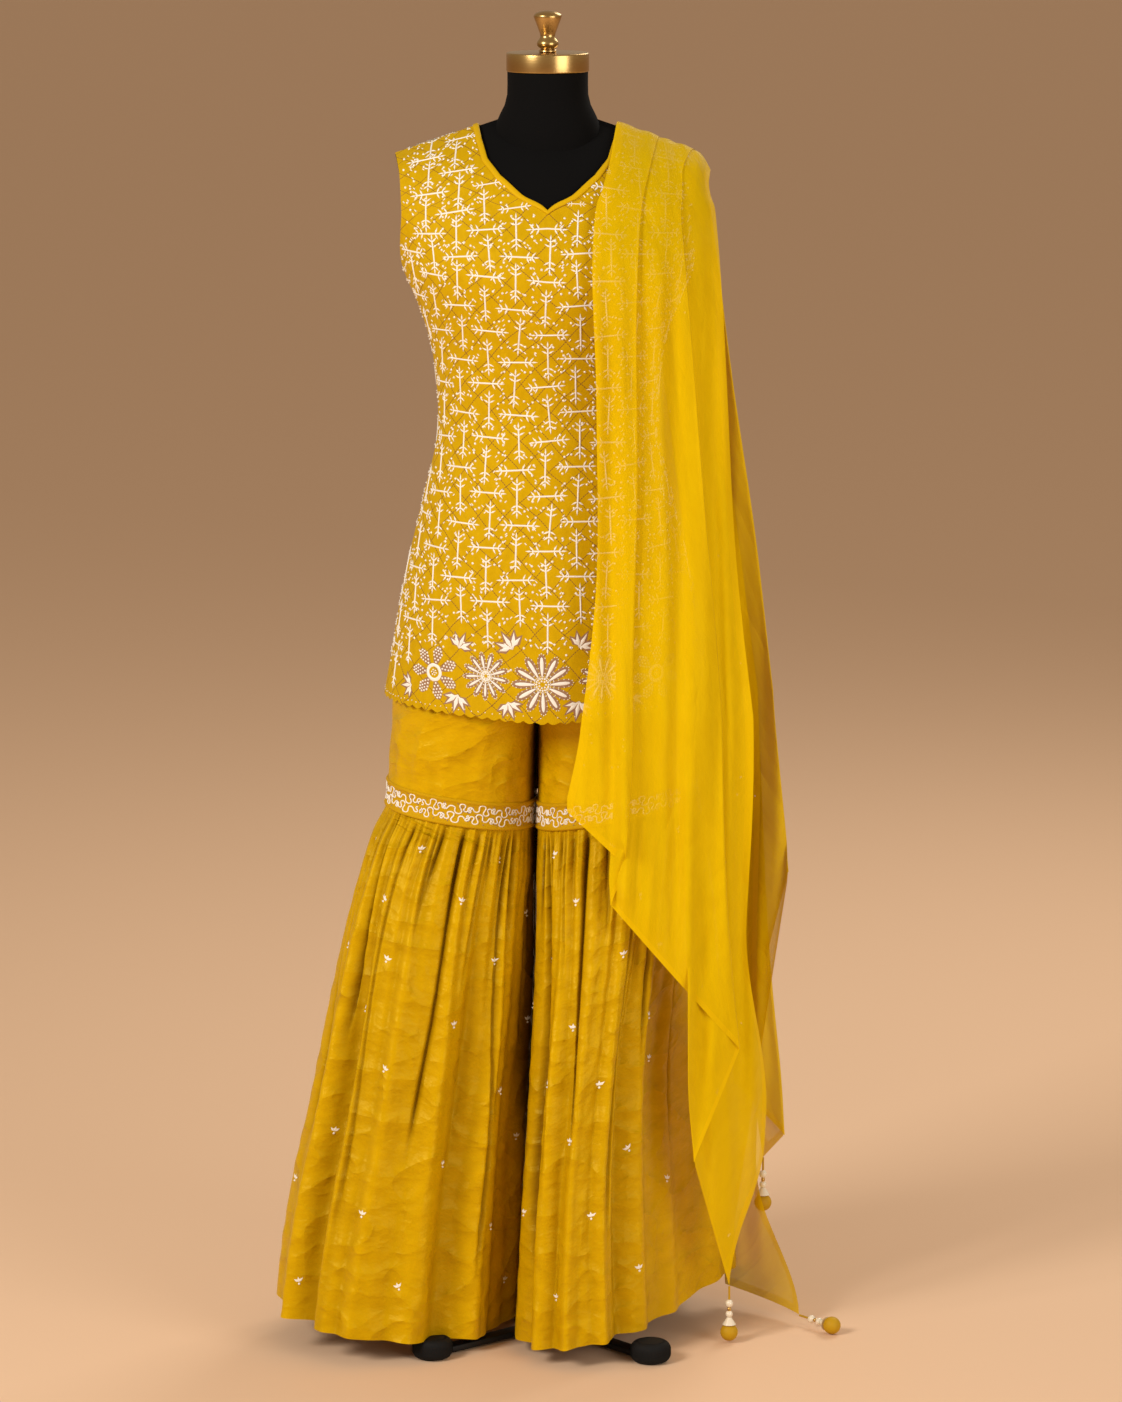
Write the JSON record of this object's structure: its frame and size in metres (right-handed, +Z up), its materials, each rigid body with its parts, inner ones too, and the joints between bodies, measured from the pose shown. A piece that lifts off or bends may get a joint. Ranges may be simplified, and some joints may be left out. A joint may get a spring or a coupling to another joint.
{
  "type": "sharara suit on a dress form stand",
  "caption": "Sleeveless A-line kurti, gathered flared sharara trousers and a folded dupatta with corner tassels, worn by a limbless dress form on a four-footed stand.",
  "frame": {"origin": "middle of the footprint's box, on the floor under the four feet", "axes": "+Z up along the pole, +X towards the viewer's right, front of the suit towards -Y"},
  "size_m": [0.67, 0.3328, 1.5639],
  "materials": {
    "kurti_cloth": "soft woven, embroidered",
    "sharara_cloth": "crinkled silk",
    "band_trim": "embroidered band",
    "dupatta_cloth": "sheer",
    "tassel_trim": "cord, beads and covered ball",
    "form_jersey": "black jersey",
    "brass": "satin",
    "stand_metal": "satin black",
    "foot_rubber": "matt black"
  },
  "bodies": {
    "root": {"form_torso": "form_jersey", "neck_cap": "brass", "finial": "brass", "pole": "stand_metal", "base_hub": "stand_metal", "base_arm_1": "stand_metal", "base_arm_2": "stand_metal", "base_arm_3": "stand_metal", "base_arm_4": "stand_metal", "foot_1": "foot_rubber", "foot_2": "foot_rubber", "foot_3": "foot_rubber", "foot_4": "foot_rubber", "kurti_front": "kurti_cloth", "kurti_back": "kurti_cloth", "neck_binding": "kurti_cloth", "waistband": "sharara_cloth", "trouser_left": "sharara_cloth", "trouser_right": "sharara_cloth", "knee_band_left": "band_trim", "knee_band_right": "band_trim", "flare_left": "sharara_cloth", "flare_right": "sharara_cloth", "dupatta_front": "dupatta_cloth", "dupatta_shoulder": "dupatta_cloth", "dupatta_back": "dupatta_cloth", "tassel_front": "tassel_trim", "tassel_back": "tassel_trim", "tassel_floor": "tassel_trim"}
  },
  "joints": []
}
